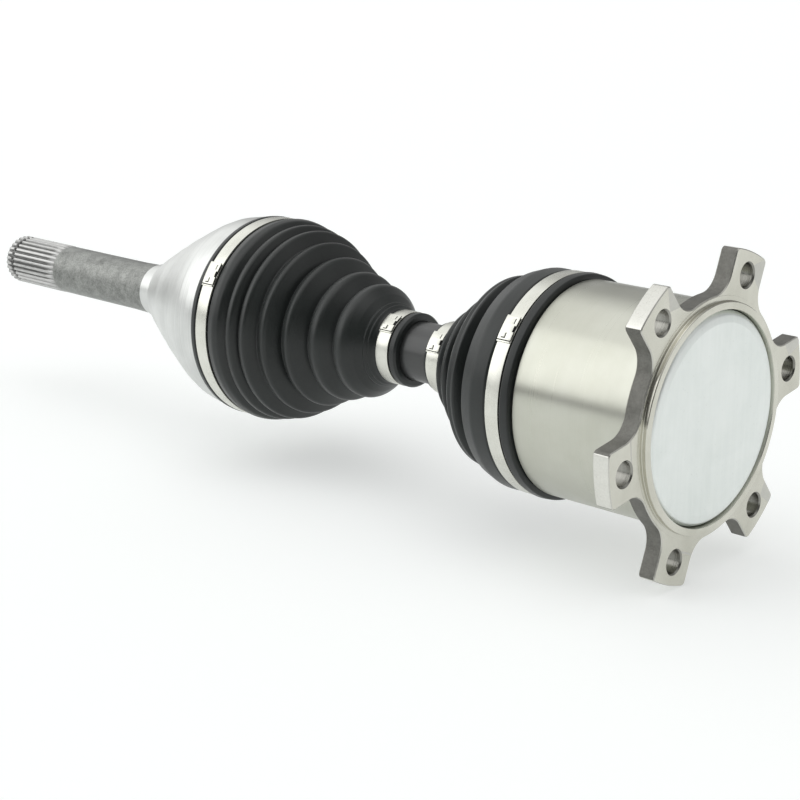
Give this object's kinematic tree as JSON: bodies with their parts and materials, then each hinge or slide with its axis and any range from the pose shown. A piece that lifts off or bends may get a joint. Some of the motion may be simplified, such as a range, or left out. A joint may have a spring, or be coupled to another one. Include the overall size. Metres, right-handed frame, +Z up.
{
  "type": "cv axle",
  "caption": "Constant-velocity half shaft with a lobed bolt-on flange, a plunging tripod joint, rubber bellows, and a ball joint on a splined stub.",
  "frame": {"origin": "centre of the bounding box, on the axle's axis", "axes": "+X along the axle, from the splined stub's tip to the bolting flange's face; +Z up, with one trunnion of the tripod and two of the joint's balls on the Z axis; +Y completes the right-handed frame"},
  "size_m": [0.4984, 0.1514, 0.1474],
  "materials": {
    "turned_steel": "turned and brushed",
    "bell_steel": "satin, fine turned",
    "zinc_plate": "pale zinc plate, matt",
    "band_steel": "bright rolled strip",
    "hardened_steel": "ground",
    "spring_steel": "oiled dark",
    "shaft_paint": "satin",
    "boot_rubber": "satin moulded"
  },
  "bodies": {
    "root": {"inner_housing": "turned_steel", "end_cap": "zinc_plate", "inner_boot_band_large": "band_steel"},
    "plunging_boot": {"inner_boot": "boot_rubber"},
    "top_roller": {"roller_1": "hardened_steel", "needle_bearing_1": "hardened_steel"},
    "shaft": {"axle_shaft": "shaft_paint", "spider": "hardened_steel", "spider_snap_ring": "spring_steel", "spider_stop_ring": "spring_steel", "roller_retainer_1": "spring_steel", "roller_retainer_2": "spring_steel", "roller_retainer_3": "spring_steel", "inner_boot_band_small": "band_steel", "outer_boot_band_small": "band_steel", "inner_race": "hardened_steel", "race_snap_ring": "spring_steel"},
    "roller_two": {"roller_2": "hardened_steel", "needle_bearing_2": "hardened_steel"},
    "roller_three": {"roller_3": "hardened_steel", "needle_bearing_3": "hardened_steel"},
    "pivot_balls": {"ball_1": "hardened_steel", "ball_4": "hardened_steel"},
    "cage": {"ball_cage": "spring_steel", "ball_2": "hardened_steel", "ball_3": "hardened_steel", "ball_5": "hardened_steel", "ball_6": "hardened_steel"},
    "bending_boot": {"outer_boot": "boot_rubber"},
    "stub": {"outer_housing": "bell_steel", "outer_boot_band_large": "band_steel"}
  },
  "joints": [
    {"name": "plunge", "type": "slide", "parent": "root", "child": "plunging_boot", "axis": [1, 0, 0], "range_m": [-0.012, 0.012], "deforming": ["inner_boot"]},
    {"name": "inner_tilt", "type": "hinge", "parent": "plunging_boot", "child": "top_roller", "pos_m": [0.1968, 0, 0], "axis": [0, 1, 0], "range_deg": [-10, 10]},
    {"name": "inner_swing", "type": "hinge", "parent": "top_roller", "child": "shaft", "pos_m": [0.1968, 0, 0], "axis": [0, 0, 1], "range_deg": [-10, 10]},
    {"name": "roller_two_spin", "type": "hinge", "parent": "shaft", "child": "roller_two", "pos_m": [0.1968, 0, 0], "axis": [0, 0.866, -0.5], "continuous": true},
    {"name": "roller_three_spin", "type": "hinge", "parent": "shaft", "child": "roller_three", "pos_m": [0.1968, 0, 0], "axis": [0, -0.866, -0.5], "continuous": true},
    {"name": "outer_tilt", "type": "hinge", "parent": "shaft", "child": "pivot_balls", "pos_m": [-0.0502, 0, 0], "axis": [0, 1, 0], "range_deg": [-8, 8]},
    {"name": "outer_steer", "type": "hinge", "parent": "pivot_balls", "child": "bending_boot", "pos_m": [-0.0502, 0, 0], "axis": [0, 0, 1], "range_deg": [-32, 32], "deforming": ["outer_boot"]},
    {"name": "outer_tilt_second_half", "type": "hinge", "parent": "bending_boot", "child": "stub", "pos_m": [-0.0502, 0, 0], "axis": [0, 1, 0], "range_deg": [-8, 8]},
    {"name": "cage_steer", "type": "hinge", "parent": "pivot_balls", "child": "cage", "pos_m": [-0.0502, 0, 0], "axis": [0, 0, 1], "range_deg": [-16, 16]}
  ],
  "couplings": [
    {"joint": "outer_tilt_second_half", "follows": "outer_tilt", "ratio": 1},
    {"joint": "cage_steer", "follows": "outer_steer", "ratio": 0.5}
  ]
}
